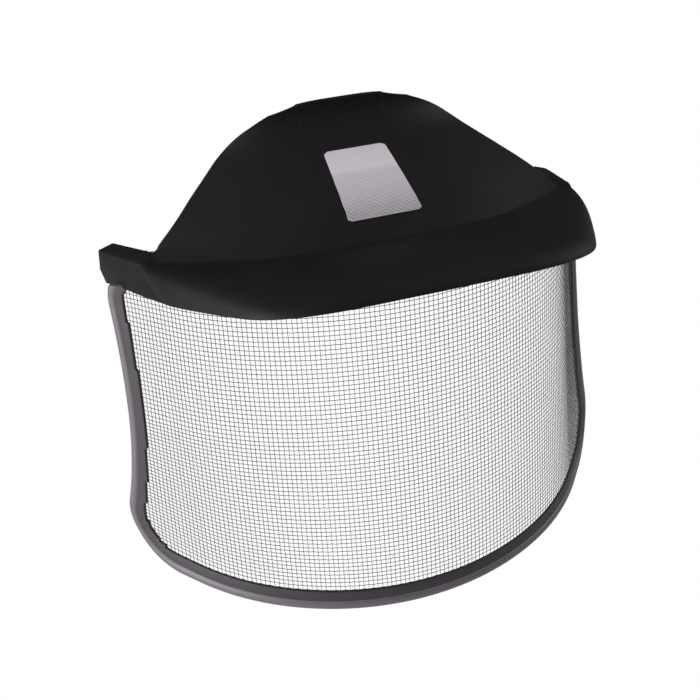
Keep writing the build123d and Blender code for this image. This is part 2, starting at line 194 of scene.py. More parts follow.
@dataclass(frozen=True)
class MouldedPlastic:
    """Injection-moulded plastic with a fine matte texture, black unless a tone is given."""

    name: str
    tone: float = 0.0036
    roughness: float = 0.5
    grain: float = 2600.0
    relief: float = 0.00004
    gloss: float = 0.16

    def build(self) -> bpy.types.Material:
        """Make the material: fine grain in the bump, slow drift in colour and gloss."""
        shader = Shader(self.name)
        place = shader.coordinates()
        grain = shader.noise(place, self.grain, 2.0)
        drift = shader.noise(place, 38.0, 4.0)
        dark, light = grey(self.tone, 0.22), grey(self.tone * 1.35, 0.25)
        shader.set(Base_Color=shader.blend(drift.ramp(0.3, 0.7), dark, light))
        shader.set(Roughness=self.roughness + drift * 0.1 + grain * 0.06, Specular_IOR_Level=self.gloss)
        shader.bump(grain + drift * 0.25, self.relief)
        return shader.material


@dataclass(frozen=True)
class TrimProfile:
    """Extruded satin profile with faint draw lines along its length."""

    name: str
    tone: float = 0.062
    roughness: float = 0.38

    def build(self) -> bpy.types.Material:
        """Make the material: streaks along the first UV axis, in millimetres."""
        shader = Shader(self.name)
        along = shader.stretched(shader.coordinates("UV"), (0.03, 2.6, 1.0))
        streak = shader.noise(along, 1.0, 4.0)
        cloud = shader.noise(shader.coordinates(), 70.0, 3.0)
        dark, light = grey(self.tone, 0.2), grey(self.tone * 1.5, 0.16)
        shader.set(Base_Color=shader.blend(streak.ramp(0.3, 0.7), dark, light))
        shader.set(Roughness=self.roughness + streak * 0.12 + cloud * 0.06)
        shader.bump(streak, 0.00006)
        return shader.material


@dataclass(frozen=True)
class CoatedWire:
    """Black coated steel wire."""

    name: str
    tone: float = 0.012

    def build(self) -> bpy.types.Material:
        """Make the material: a thin coat with small spots worn a little lighter."""
        shader = Shader(self.name)
        wear = shader.noise(shader.coordinates(), 900.0, 2.0)
        coat = (self.tone * 1.5, self.tone * 0.8, self.tone * 0.85, 1.0)
        worn = grey(self.tone * 2.2, 0.3)
        shader.set(Base_Color=shader.blend(wear.ramp(0.45, 0.8), coat, worn))
        shader.set(Roughness=0.42 + wear * 0.15)
        return shader.material


@dataclass(frozen=True)
class PrintedFilm:
    """Silver film printed with a diagonal dot screen that fades out towards the top."""

    name: str
    pitch: float = 1.25

    def build(self) -> bpy.types.Material:
        """Make the material from UV in millimetres: the product of two sines, thresholded."""
        shader = Shader(self.name)
        split = shader.node("ShaderNodeSeparateXYZ", {"Vector": shader.coordinates("UV")})
        across = Value(shader, split.outputs["X"])
        up = Value(shader, split.outputs["Y"])
        turn = 2 * pi / self.pitch
        dots = ((across + up * 0.9) * turn).sine() * ((across - up * 0.9) * turn).sine()
        fade = up.ramp(27.0, -2.0)
        ink = (dots + fade * 0.8).ramp(0.45, 0.6) * fade.ramp(0.0, 0.12)
        sheen = shader.noise(shader.coordinates(), 60.0, 3.0)
        bright, dull = (0.80, 0.74, 0.79, 1.0), (0.62, 0.57, 0.63, 1.0)
        printed = (0.09, 0.08, 0.095, 1.0)
        film = shader.blend(up.ramp(0.0, 38.0), bright, dull)
        shader.set(Base_Color=shader.blend(ink * 0.92, film, printed))
        shader.set(Roughness=0.4 + sheen * 0.1, Metallic=0.35)
        return shader.material


@dataclass(frozen=True)
class PlainMetal:
    """Turned or pressed metal with a fine grain."""

    name: str
    colour: tuple
    roughness: float = 0.3

    def build(self) -> bpy.types.Material:
        """Make the material: noise squeezed along X reads as lathe marks."""
        shader = Shader(self.name)
        marks = shader.noise(shader.stretched(shader.coordinates(), (6000.0, 500.0, 500.0)), 1.0, 3.0)
        dark = tuple(0.75 * part for part in self.colour[:3]) + (1.0,)
        shader.set(Base_Color=shader.blend(marks, self.colour, dark))
        shader.set(Metallic=1.0, Roughness=self.roughness + marks * 0.15)
        shader.bump(marks, 0.00002)
        return shader.material


# ------------------------------------------------------------------ mesh helpers


def add_mesh(name: str, points: np.ndarray, faces: np.ndarray, uv: np.ndarray | None = None,
             crease: float = 35.0) -> bpy.types.Object:
    """Put vertices in millimetres and quads into a mesh object at the origin.

    Args:
        name: Name of the piece.
        points: Vertex positions, shape (n, 3).
        faces: Quad or triangle indices, shape (m, 4) or (m, 3).
        uv: Coordinates per vertex in millimetres, shape (n, 2).
        crease: Angle in degrees past which an edge is sharp.

    Returns:
        The new object.
    """
    mesh = bpy.data.meshes.new(name)
    sides = faces.shape[1]
    mesh.vertices.add(len(points))
    mesh.vertices.foreach_set("co", (points * MM).astype(np.float32).ravel())
    mesh.loops.add(faces.size)
    mesh.loops.foreach_set("vertex_index", faces.astype(np.int32).ravel())
    mesh.polygons.add(len(faces))
    mesh.polygons.foreach_set("loop_start", np.arange(0, faces.size, sides, dtype=np.int32))
    mesh.polygons.foreach_set("use_smooth", np.ones(len(faces), dtype=bool))
    mesh.update(calc_edges=True)
    mesh.validate()
    if uv is not None:
        layer = mesh.uv_layers.new(name="UVMap")
        layer.data.foreach_set("uv", uv[faces.ravel()].astype(np.float32).ravel())
    if crease < 180:
        mesh.set_sharp_from_angle(angle=radians(crease))
    piece = bpy.data.objects.new(name, mesh)
    bpy.context.scene.collection.objects.link(piece)
    return piece


def grid_faces(rows: int, columns: int, loop: bool = False, start: int = 0) -> np.ndarray:
    """Quads over a grid of vertices numbered row by row.

    Args:
        rows: Number of rows.
        columns: Vertices in each row.
        loop: Whether the last column joins the first.
        start: Index of the first vertex.

    Returns:
        Indices, shape (quads, 4).
    """
    row = np.arange(rows - 1)[:, None]
    column = np.arange(columns if loop else columns - 1)[None, :]
    after = (column + 1) % columns
    quads = np.stack([row * columns + column, row * columns + after,
                      (row + 1) * columns + after, (row + 1) * columns + column], axis=-1)
    return quads.reshape(-1, 4) + start


def fan_cap(loop_start: int, count: int, flip: bool) -> np.ndarray:
    """Close an even loop of vertices with a strip of quads across it."""
    near = loop_start + np.arange(count // 2 - 1)
    far = loop_start + count - 1 - np.arange(count // 2 - 1)
    quads = np.stack([near, near + 1, far - 1, far], axis=-1)
    return quads[:, ::-1] if flip else quads


def unit(vectors: np.ndarray) -> np.ndarray:
    """Vectors scaled to length one along the last axis."""
    return vectors / np.maximum(np.linalg.norm(vectors, axis=-1, keepdims=True), 1e-9)


def grid_normals(points: np.ndarray) -> np.ndarray:
    """Normals of a grid surface: the cross product of its two finite differences."""
    return unit(np.cross(np.gradient(points, axis=0), np.gradient(points, axis=1)))


def smoothstep(start: float, end: float, at: np.ndarray) -> np.ndarray:
    """Rise from zero at start to one at end, level at both."""
    part = np.clip((at - start) / (end - start), 0, 1)
    return part ** 2 * (3 - 2 * part)


def soft_excess(value: np.ndarray, softness: float) -> np.ndarray:
    """The value where it is positive and zero where it is negative, with a rounded change."""
    return 0.5 * (value + np.sqrt(value ** 2 + softness))


def smooth_curve(knots: np.ndarray, values: np.ndarray, at: np.ndarray) -> np.ndarray:
    """Natural cubic spline through values at knots.

    Args:
        knots: Rising parameters, shape (n,).
        values: Points at the knots, shape (n, k).
        at: Parameters to evaluate, any shape.

    Returns:
        Points, shape at.shape + (k,).
    """
    gaps = np.diff(knots)
    count = len(knots)
    system = np.eye(count)
    inner = np.arange(1, count - 1)
    system[inner, inner - 1] = gaps[:-1]
    system[inner, inner] = 2 * (gaps[:-1] + gaps[1:])
    system[inner, inner + 1] = gaps[1:]
    slopes = np.diff(values, axis=0) / gaps[:, None]
    right = np.zeros_like(values)
    right[1:-1] = 6 * np.diff(slopes, axis=0)
    bend = np.linalg.solve(system, right)
    piece = np.clip(np.searchsorted(knots, at, side="right") - 1, 0, count - 2)
    width = gaps[piece][..., None]
    after = (at - knots[piece])[..., None]
    before = width - after
    return ((bend[piece] * before ** 3 + bend[piece + 1] * after ** 3) / (6 * width)
            + (values[piece] / width - bend[piece] * width / 6) * before
            + (values[piece + 1] / width - bend[piece + 1] * width / 6) * after)


def rounded_loops(corners: np.ndarray, radius: float, steps: int = 4) -> np.ndarray:
    """Round every corner of closed polygons with a quadratic curve.

    Args:
        corners: Polygon corners, shape (stations, corners, 3).
        radius: Distance from a corner at which its curve starts.
        steps: Points on each corner.

    Returns:
        Loops, shape (stations, corners * steps, 3).
    """
    before = unit(np.roll(corners, 1, axis=1) - corners) * radius
    after = unit(np.roll(corners, -1, axis=1) - corners) * radius
    part = np.linspace(0, 1, steps)[None, None, :, None]
    curve = (corners[:, :, None] + before[:, :, None] * (1 - part) ** 2 + after[:, :, None] * part ** 2)
    return curve.reshape(len(corners), -1, 3)


def loft(name: str, loops: np.ndarray, crease: float = 35.0) -> bpy.types.Object:
    """Closed solid through loops of an even number of points, with flat ends."""
    stations, count = loops.shape[:2]
    faces = np.concatenate([grid_faces(stations, count, loop=True), fan_cap(0, count, flip=True),
                            fan_cap((stations - 1) * count, count, flip=False)])
    return add_mesh(name, loops.reshape(-1, 3), faces, crease=crease)


def shell(name: str, outer: np.ndarray, thickness: float, uv: np.ndarray | None = None) -> bpy.types.Object:
    """Closed wall of even thickness behind a grid surface.

    The inner skin is the outer one moved against its normals, and four strips join their borders.
    The faces point into the wall: a known fault.
    """
    rows, columns = outer.shape[:2]
    inner = outer - grid_normals(outer) * thickness
    count = rows * columns
    front = grid_faces(rows, columns)
    back = front[:, ::-1] + count
    index = np.arange(count).reshape(rows, columns)
    border = np.concatenate([index[0, :-1], index[:-1, -1], index[-1, :0:-1], index[:0:-1, 0]])
    ahead = np.roll(border, -1)
    rim = np.stack([ahead, border, border + count, ahead + count], axis=-1)
    points = np.concatenate([outer.reshape(-1, 3), inner.reshape(-1, 3)])
    if uv is not None:
        uv = np.concatenate([uv.reshape(-1, 2)] * 2)
    return add_mesh(name, points, np.concatenate([front, back, rim]), uv, crease=40.0)


# ------------------------------------------------------------------ the guard's tilted frame


@dataclass(frozen=True)
class GuardFrame:
    """The brow guard's own frame: it leans by a tilt, and heights start at its lower edge."""

    tilt: float = 7.3
    base_drop: float = 3.9

    def world(self, points: np.ndarray) -> np.ndarray:
        """Turn (x, y, height above the lower edge) into the object's frame."""
        lean = radians(self.tilt)
        height = points[..., 2] - self.base_drop
        back = points[..., 1]
        return np.stack([points[..., 0], back * cos(lean) + height * sin(lean),
                         height * cos(lean) - back * sin(lean)], axis=-1)

    def level(self, height: float | np.ndarray, y: np.ndarray) -> np.ndarray:
        """World Z of a height above the lower edge at a world Y."""
        lean = radians(self.tilt)
        return (height - self.base_drop) / cos(lean) - y * tan(lean)


GUARD = GuardFrame()


# ------------------------------------------------------------------ the screen's surface and its edge


@dataclass(frozen=True)
class ScreenPlan:
    """The screen seen from above: a front arc, two cheek arcs and two flat side panels.

    A place on the screen is an arc length from its middle, a height and an offset outwards.
    """

    front_y: float = -81.0
    front_radius: float = 113.0
    front_half_angle: float = 31.0
    cheek_radius: float = 97.5
    side_angle: float = 55.4
    opening: float = 0.10
    opening_start: float = -10.0
    opening_depth: float = 125.0
    edge_lift: float = 8.5
    lift_reach: float = 100.0
    lift_start: float = 60.0
    lift_depth: float = 70.0

    @property
    def cheek_start(self) -> float:
        """Arc length at which the cheek arc begins."""
        return self.front_radius * radians(self.front_half_angle)

    @property
    def panel_start(self) -> float:
        """Arc length at which the flat side panel begins."""
        return self.cheek_start + self.cheek_radius * radians(self.side_angle - self.front_half_angle)

    def wrap(self, z: np.ndarray) -> np.ndarray:
        """Share of the full wrap at a height: the cloth opens below the guard."""
        return 1 - self.opening * np.clip(self.opening_start - z, 0, None) / self.opening_depth

    def lift(self, arc: np.ndarray, z: np.ndarray) -> np.ndarray:
        """Rise of the level wires towards the sides, which grows to the bottom."""
        low = np.clip((-z - self.lift_start) / self.lift_depth, 0, 1)
        return self.edge_lift * (arc / self.lift_reach) ** 2 * low

    def heading(self, arc: np.ndarray, z: np.ndarray) -> np.ndarray:
        """Angle of the screen's direction from X at an arc length and a height, signed."""
        reach = np.abs(arc)
        front = np.minimum(reach, self.cheek_start) / self.front_radius
        cheek_length = self.panel_start - self.cheek_start
        cheek = np.clip(reach - self.cheek_start, 0, cheek_length) / self.cheek_radius
        return np.sign(arc) * (front + cheek) * self.wrap(z)

    def outward(self, arc: np.ndarray, z: np.ndarray) -> np.ndarray:
        """Level direction straight out of the screen."""
        turn = self.heading(arc, z)
        return np.stack([np.sin(turn), -np.cos(turn), 0 * turn], axis=-1)

    def place(self, arc: np.ndarray, z: np.ndarray, offset: np.ndarray) -> np.ndarray:
        """Points of the screen: arcs are sines and cosines of the heading, panels straight.

        Args:
            arc: Signed arc length.
            z: Height on the cloth before it is lifted towards the sides.
            offset: Distance outwards from the cloth's middle.

        Returns:
            Points, shape (..., 3).
        """
        wrap = self.wrap(z)
        front, cheek = self.front_radius / wrap, self.cheek_radius / wrap
        turn = np.abs(self.heading(arc, z))
        first = np.minimum(turn, wrap * radians(self.front_half_angle))
        straight = np.maximum(np.abs(arc) - self.panel_start, 0)
        across = (front * np.sin(first) + cheek * (np.sin(turn) - np.sin(first))
                  + straight * np.cos(turn) + offset * np.sin(turn))
        back = (front * (1 - np.cos(first)) + cheek * (np.cos(first) - np.cos(turn))
                + straight * np.sin(turn) - offset * np.cos(turn))
        height = z + self.lift(arc, z) + 0 * across
        return np.stack([np.sign(arc) * across, self.front_y + back, height], axis=-1)


@dataclass(frozen=True)
class ScreenEdge:
    """The screen's bottom and side edges, drawn on the unrolled cloth."""

    plan: ScreenPlan
    bottom_z: float = -141.0
    waist_reach: float = 26.9
    waist_z: float = -57.7
    waist_radius: float = 306.0
    bottom_radius: float = 23.2
    top_radius: float = 15.6
    top_z: float = -9.1
    top_end: float = 52.0

    @property
    def waist_centre(self) -> float:
        """Reach of the large waist arc's centre."""
        return self.plan.panel_start + self.waist_reach + self.waist_radius

    def corner(self, z: float, radius: float) -> tuple[float, float]:
        """Centre reach of a corner arc that touches the waist arc, and its turn there in degrees."""
        drop = z - self.waist_z
        span = sqrt((self.waist_radius + radius) ** 2 - drop ** 2)
        return self.waist_centre - span, np.degrees(np.arctan2(-drop, span))

    def half(self, step: float) -> tuple[np.ndarray, np.ndarray]:
        """Points of the right half from the middle of the bottom to the top, and inward normals.

        Bottom run, bottom corner, waist and top corner are arcs about their own centres.
        """
        bottom_centre_z = self.bottom_z + self.bottom_radius
        bottom_reach, bottom_turn = self.corner(bottom_centre_z, self.bottom_radius)
        top_reach, top_turn = self.corner(self.top_z, self.top_radius)
        run = np.arange(0, bottom_reach, step)
        points = [np.stack([run, np.full_like(run, self.bottom_z)], axis=-1)]
        normals = [np.tile([0.0, 1.0], (len(run), 1))]
        arcs = [(bottom_reach, bottom_centre_z, self.bottom_radius, -90.0, bottom_turn, -1.0),
                (self.waist_centre, self.waist_z, self.waist_radius,
                 180.0 + bottom_turn, 180.0 + top_turn, 1.0),
                (top_reach, self.top_z, self.top_radius, top_turn, self.top_end, -1.0)]
        for reach, z, radius, start, stop, inward in arcs:
            count = max(4, int(abs(radians(stop - start)) * radius / step))
            angle = np.radians(np.linspace(start, stop, count, endpoint=False))
            ray = np.stack([np.cos(angle), np.sin(angle)], axis=-1)
            points.append(np.array([reach, z]) + radius * ray)
            normals.append(inward * ray)
        return np.concatenate(points), np.concatenate(normals)

    def whole(self, step: float) -> tuple[np.ndarray, np.ndarray]:
        """The same from the left side's top, along the bottom, to the right side's top."""
        points, normals = self.half(step)
        flip = np.array([-1.0, 1.0])
        return (np.concatenate([points[:0:-1] * flip, points]),
                np.concatenate([normals[:0:-1] * flip, normals]))


PLAN = ScreenPlan()
EDGE = ScreenEdge(PLAN)


@dataclass
class EdgeTrim:
    """Moulded edging: an oval bead and a dark flange whose edge steps towards the wires."""

    bead_reach: float = 2.3
    bead_half: float = 1.75
    bead_points: int = 30
    lip_reach: float = 6.2
    lip_half: float = 0.85
    lip_round: float = 0.5
    lip_points: int = 7
    girth: float = 20.0
    step: float = 0.7
    wire_pitch: float = 2.0
    wire_pull: float = 0.6
    arm_start: float = -27.0
    arm_floor: float = 1.9
    arm_fall: float = 0.079
    end_allowance: float = 3.5
    finish: TrimProfile = field(default_factory=lambda: TrimProfile("trim_profile"))
    flange: TrimProfile = field(default_factory=lambda: TrimProfile("trim_flange", 0.014, 0.5))

    def section(self) -> tuple[np.ndarray, np.ndarray]:
        """Closed profile as (inwards, outwards), and the share by which a point follows the lip."""
        meet = np.arcsin(self.lip_half / self.bead_half)
        bead = np.linspace(meet, 2 * pi - meet, self.bead_points)
        circle = np.stack([self.bead_reach * np.cos(bead), self.bead_half * np.sin(bead)], axis=-1)
        turn = np.linspace(-pi / 2, pi / 2, self.lip_points)
        lip = np.stack([self.lip_round * np.cos(turn) - self.lip_round,
                        self.lip_half * np.sin(turn)], axis=-1)
        follow = np.concatenate([np.zeros(self.bead_points), np.ones(self.lip_points)])
        return np.concatenate([circle, lip]), follow

    def flash(self, path: np.ndarray, inward: np.ndarray) -> np.ndarray:
        """Reach of the flange at each station, pulled part of the way to the nearest wire."""
        tip = path + inward * self.lip_reach
        level = np.abs(inward[:, 1]) > 0.75
        upright = np.abs(inward[:, 0]) > 0.9
        level_wire = np.round(tip[:, 1] / self.wire_pitch) * self.wire_pitch
        upright_wire = (np.round(tip[:, 0] / self.wire_pitch - 0.5) + 0.5) * self.wire_pitch
        row = (level_wire - path[:, 1]) / np.where(level, inward[:, 1], 1)
        column = (upright_wire - path[:, 0]) / np.where(upright, inward[:, 0], 1)
        reach = np.where(level, row, np.where(upright, column, self.lip_reach))
        return self.lip_reach + self.wire_pull * (reach - self.lip_reach)

    def arm_underside(self, y: np.ndarray) -> np.ndarray:
        """World Z of the arms' underside, which falls towards the rear and cuts the trim's ends."""
        behind = np.clip(y - self.arm_start, 0, None)
        return GUARD.level(self.arm_floor - self.arm_fall * behind, y)

    def build(self) -> None:
        """Carry the profile along the edge of the unrolled cloth, then bend it onto the screen.

        The profile has an odd number of points and each cap leaves out one, so a small triangle
        stays open at both ends: a known fault.
        """
        path, inward = EDGE.whole(self.step)
        middle = PLAN.place(path[:, 0], path[:, 1], 0 * path[:, 0])
        keep = middle[:, 2] < self.arm_underside(middle[:, 1]) + self.end_allowance
        path, inward = path[keep], inward[keep]
        profile, follow = self.section()
        reach = self.flash(path, inward)
        inwards = profile[None, :, 0] + follow[None, :] * reach[:, None]
        arc = path[:, None, 0] + inward[:, None, 0] * inwards
        height = path[:, None, 1] + inward[:, None, 1] * inwards
        points = PLAN.place(arc, height, np.broadcast_to(profile[None, :, 1], arc.shape))
        points[..., 2] = np.minimum(points[..., 2], self.arm_underside(points[..., 1]))
        along = np.concatenate([[0.0], np.cumsum(np.linalg.norm(np.diff(path, axis=0), axis=1))])
        around = np.linspace(0, self.girth, len(profile))
        uv = np.stack(np.broadcast_arrays(along[:, None], around[None, :]), axis=-1).reshape(-1, 2)
        rows, count = arc.shape
        skin = grid_faces(rows, count, loop=True)
        caps = np.concatenate([fan_cap(0, count - 1, flip=True),
                               fan_cap((rows - 1) * count, count - 1, flip=False)])
        faces = np.concatenate([skin, caps])
        piece = add_mesh("edge_trim_profile", points.reshape(-1, 3), faces, uv, crease=40.0)
        piece.data.materials.append(self.finish.build())
        piece.data.materials.append(self.flange.build())
        dark = np.zeros(len(piece.data.polygons), dtype=np.int32)
        dark[:len(skin)] = np.tile(np.arange(count) >= self.bead_points - 1, rows - 1)
        piece.data.polygons.foreach_set("material_index", dark)
        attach(piece, VISOR)
        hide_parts("edge_trim")
        log.info("edge trim: %d stations, %.0f mm long", rows, along[-1])


@dataclass
class WovenScreen:
    """Plain-woven wire cloth: upright and level wires that pass over and under each other."""

    pitch: float = 2.0
    wire_radius: float = 0.135
    samples: int = 4
    sides: int = 4
    hem: float = 3.0
    top_height: float = 5.8
    side_height: float = -0.5
    arm_zone: float = -14.0
    arm_reach: float = 92.0
    waist_band: float = 30.0
    upright_numbers: range = range(-75, 75)
    level_numbers: range = range(-71, 8)
    split_level: int = -30
    finish: CoatedWire = field(default_factory=lambda: CoatedWire("screen_wire"))

    def outline(self) -> np.ndarray:
        """Right half of the cloth's edge inside the trim, from the bottom's middle to the top."""
        points, inward = EDGE.half(0.5)
        return points + inward * self.hem

    def upright_span(self, arc: float) -> tuple[float, float]:
        """Lowest and highest point of an upright wire at an arc length.

        The trim's edge bounds it below, and the guard or the edge of the top corner above.
        """
        edge = self.outline()
        reach = abs(arc)
        waist = np.argmin(np.where(edge[:, 1] > EDGE.waist_z - self.waist_band, edge[:, 0], 1e9))
        lower = edge[: np.argmax(edge[:waist, 0]) + 1]
        low = float(np.interp(reach, lower[:, 0], lower[:, 1]))
        back = PLAN.place(np.array(arc), np.array(0.0), np.array(0.0))[1]
        top = self.top_height if reach < PLAN.panel_start else self.side_height
        high = float(GUARD.level(top, back))
        flare = edge[np.argmax(edge[:waist, 0]): waist]
        if reach > edge[waist, 0]:
            high = float(np.interp(-reach, -flare[:, 0], flare[:, 1]))
        return low, high

    def level_reach(self, z: float) -> float:
        """Arc length at which a level wire ends at the trim or under the guard."""
        edge = self.outline()
        side = edge[np.argmax(edge[:, 1] > EDGE.bottom_z + self.hem + 0.2):]
        reach = float(np.interp(z, side[:, 1], side[:, 0]))
        if z > self.arm_zone:
            arcs = np.linspace(0, reach, 400)
            backs = PLAN.place(arcs, np.zeros(400), np.zeros(400))[:, 1]
            top = np.where(arcs < self.arm_reach, self.top_height, self.side_height)
            inside = GUARD.level(top, backs) > z
            reach = float(arcs[inside].max()) if inside.any() else 0.0
        return reach

    def tube(self, line: np.ndarray, across: np.ndarray, outward: np.ndarray) -> np.ndarray:
        """Rings of a thin wire about a line: radius times cosine across plus sine outward."""
        angle = np.linspace(0, 2 * pi, self.sides, endpoint=False) + pi / 4
        ring = (across[:, None] * np.cos(angle)[None, :, None]
                + outward[:, None] * np.sin(angle)[None, :, None])
        return line[:, None] + ring * self.wire_radius

    def upright(self, number: int) -> np.ndarray | None:
        """Rings of one upright wire, crimped by a cosine of its height."""
        arc = (number + 0.5) * self.pitch + 0.05 * sin(number * 1.7)
        low, high = self.upright_span(arc)
        if high - low < 2 * self.pitch:
            return None
        count = int((high - low) / self.pitch * self.samples) + 1
        z = low + (high - low) * np.arange(count) / (count - 1)
        crimp = self.wire_radius * np.cos(pi * z / self.pitch + pi * number)
        sway = arc + 0.06 * np.sin(z / 23.0 + number * 0.37)
        line = PLAN.place(sway, z, crimp)
        outward = PLAN.outward(sway, z)
        across = np.cross(outward, np.array([0.0, 0.0, 1.0]))
        return self.tube(line, across, outward)

    def level(self, number: int) -> np.ndarray | None:
        """Rings of one level wire, crimped by the opposite cosine of its arc length."""
        z = number * self.pitch
        reach = self.level_reach(z)
        if reach < 2 * self.pitch:
            return None
        count = int(2 * reach / self.pitch * self.samples) + 1
        arc = np.linspace(-reach, reach, count)
        crimp = -self.wire_radius * np.cos(pi * (arc / self.pitch - 0.5) + pi * number)
        drift = z + 0.07 * np.sin(arc / 31.0 + number * 0.23)
        line = PLAN.place(arc, drift, crimp)
        outward = PLAN.outward(arc, drift)
        up = np.broadcast_to(np.array([0.0, 0.0, 1.0]), outward.shape)
        return self.tube(line, up, outward)

    def join(self, name: str, wires: list[np.ndarray]) -> bpy.types.Object:
        """Put many wires into one mesh, each a closed square tube."""
        points, faces, start = [], [], 0
        for rings in wires:
            rows = len(rings)
            points.append(rings.reshape(-1, 3))
            faces.append(grid_faces(rows, self.sides, loop=True, start=start))
            faces.append(fan_cap(start, self.sides, flip=True))
            faces.append(fan_cap(start + (rows - 1) * self.sides, self.sides, flip=False))
            start += rows * self.sides
        return add_mesh(name, np.concatenate(points), np.concatenate(faces), crease=180.0)

    def build(self) -> None:
        """Weave the cloth in four pieces: upright wires left and right, level wires high and low."""
        uprights = {number: self.upright(number) for number in self.upright_numbers}
        levels = {number: self.level(number) for number in self.level_numbers}
        material = self.finish.build()
        groups = {
            "screen_uprights_left": [w for n, w in uprights.items() if n < 0 and w is not None],
            "screen_uprights_right": [w for n, w in uprights.items() if n >= 0 and w is not None],
            "screen_levels_low": [w for n, w in levels.items() if n < self.split_level and w is not None],
            "screen_levels_high": [w for n, w in levels.items() if n >= self.split_level and w is not None],
        }
        for name, wires in groups.items():
            piece = self.join(name, wires)
            piece.data.materials.append(material)
            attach(piece, VISOR)
            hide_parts("mesh_screen")
            log.info("%s: %d wires, %d faces", name, len(wires), len(piece.data.polygons))


# ------------------------------------------------------------------ brow guard


@dataclass
class BrowGuard:
    """One moulding: a peaked brim, a dome that leans back, two side arms and a web for the screen.

    Places are (x, y, height above the lower edge) in the guard's tilted frame, in millimetres.
    The skin runs from the lower edge over the brim to a crease, and up the dome to its rear rim.
    """

    wall: float = 2.0
    crease_height: float = 11.0
    fullness: float = 2.3
    flat_half: float = 18.0
    rim_heights: tuple = (10.8, 14.0, 17.4, 24.5, 31.4, 39.3, 47.7, 53.5, 57.6, 60.0, 62.0)
    rim_halves: tuple = (93.4, 88.7, 84.6, 76.6, 68.7, 59.3, 49.2, 40.3, 30.6, 24.0, 20.0)
    rim_reach: float = 12.6
    rim_top: float = 60.9
    rim_drop: float = 3.4
    rim_power: float = 3.6
    label_top: float = 41.0
    dome_base: float = 10.8
    front_y: float = -63.8
    front_lean: float = 1.085
    front_bend: float = 0.0068
    front_pull: float = 0.054
    radius_least: float = 42.0
    radius_height: float = 56.0
    radius_growth: float = 0.026
    radius_bulge: float = 12.0
    bulge_top: float = 27.0
    radius_above: float = 0.12
    panel_step: float = 0.3
    side_lean: float = 2.6
    side_share: float = 0.26
    web_reach: float = 101.0
    web_inner: float = 0.4
    web_outer: float = 2.2
    web_low: float = 1.0
    web_gap: float = 1.2
    finish: MouldedPlastic = field(default_factory=lambda: MouldedPlastic("guard_plastic"))

    def dome_front(self, height: np.ndarray) -> np.ndarray:
        """Middle of the dome seen from the side: it leans back, and turns upright above the label."""
        rise = height - self.dome_base
        over = np.clip(height - self.label_top, 0, None)
        lean = self.front_y + self.front_lean * rise + self.front_bend * rise ** 2
        return lean - self.front_pull * over ** 2

    def dome(self, share: np.ndarray, height: np.ndarray) -> np.ndarray:
        """Point of the dome: a flat middle, then an arc, whose radius is least above the label.

        Args:
            share: Signed place across, one at the rear rim.
            height: Height above the lower edge.

        Returns:
            Points, shape (..., 3).
        """
        front = self.dome_front(height)
        over = np.clip(height - self.label_top, 0, None)
        radius = (self.radius_least + self.radius_growth * (self.radius_height - height) ** 2
                  + self.radius_bulge * smoothstep(self.crease_height, self.bulge_top, height)
                  + self.radius_above * over ** 2)
        heights, halves = np.array(self.rim_heights), np.array(self.rim_halves)[:, None]
        half = smooth_curve(heights, halves, height + 0 * share)[..., 0]
        end = np.arcsin(np.clip((half - self.flat_half) / radius, 0, 0.999))
        reach = np.abs(share)
        past = (reach - self.side_share) / (1 - self.side_share)
        turn = end * np.clip(past, 0, 1)
        x = self.flat_half * np.minimum(reach / self.side_share, 1) + radius * np.sin(turn)
        step = self.panel_step * smoothstep(self.flat_half - 0.4, self.flat_half + 1.2, x)
        back = front + radius * (1 - np.cos(turn)) - step
        return np.stack([np.sign(share) * x, back, height + 0 * x], axis=-1)

    def lower_edge(self, share: np.ndarray) -> np.ndarray:
        """Lower edge of the brim: a smooth curve from the peak round each corner to the arms."""
        knots = np.array([-0.2, 0.0, 0.16, 0.36, 0.52, 0.65, 0.77, 0.89, 1.0])
        points = np.array([[-20.0, -109.2, 0.0], [0.0, -109.4, 0.0], [20.0, -109.2, 0.0],
                           [45.0, -107.9, 0.0], [65.0, -100.0, -0.1], [75.3, -85.8, -0.4],
                           [84.4, -68.4, -0.6], [92.8, -49.4, -0.6], [100.0, -27.0, 0.0]])
        curve = smooth_curve(knots, points, np.abs(share))
        return curve * np.stack([np.sign(share), 1 + 0 * share, 1 + 0 * share], axis=-1)

    def cut(self, points: np.ndarray) -> np.ndarray:
        """Trim the brim to the flat cheek in front of each arm and to the plane of the arm's top.

        A soft minimum keeps both new edges slightly rounded, and the cheek fades out forwards.
        """
        corner, cheek = np.array([100.0, -27.0, 0.0]), np.array([0.893, -0.310, 0.325])
        inwards = np.array([0.999, -0.347, 0.0])
        cheek_front, cheek_rake, cheek_fade = -56.0, 2.1, 7.0
        roof_height, roof_x, roof_y = 11.4, 96.9, -24.0
        roof_fall, roof_rise = 0.36, 0.07
        roof_front, roof_fade, roof_side, roof_top = -60.0, 20.0, 70.0, 16.0
        right = points.copy()
        right[..., 0] = np.abs(points[..., 0])
        past = (right - corner) @ cheek
        ridge = np.clip((right[..., 1] - cheek_front - cheek_rake * right[..., 2]) / cheek_fade, 0, 1)
        past = (soft_excess(past, 0.3) - 0.02) * ridge
        right = right - past[..., None] * inwards
        roof = roof_height - roof_fall * (right[..., 0] - roof_x) + roof_rise * (right[..., 1] - roof_y)
        over = right[..., 2] - roof
        near = np.clip((right[..., 1] - roof_front) / roof_fade, 0, 1)
        near = near * (right[..., 0] > roof_side) * (right[..., 2] < roof_top)
        right[..., 2] -= soft_excess(over, 0.2) * near * (over > -2)
        right[..., 0] *= np.where(points[..., 0] < 0, -1, 1)
        return right

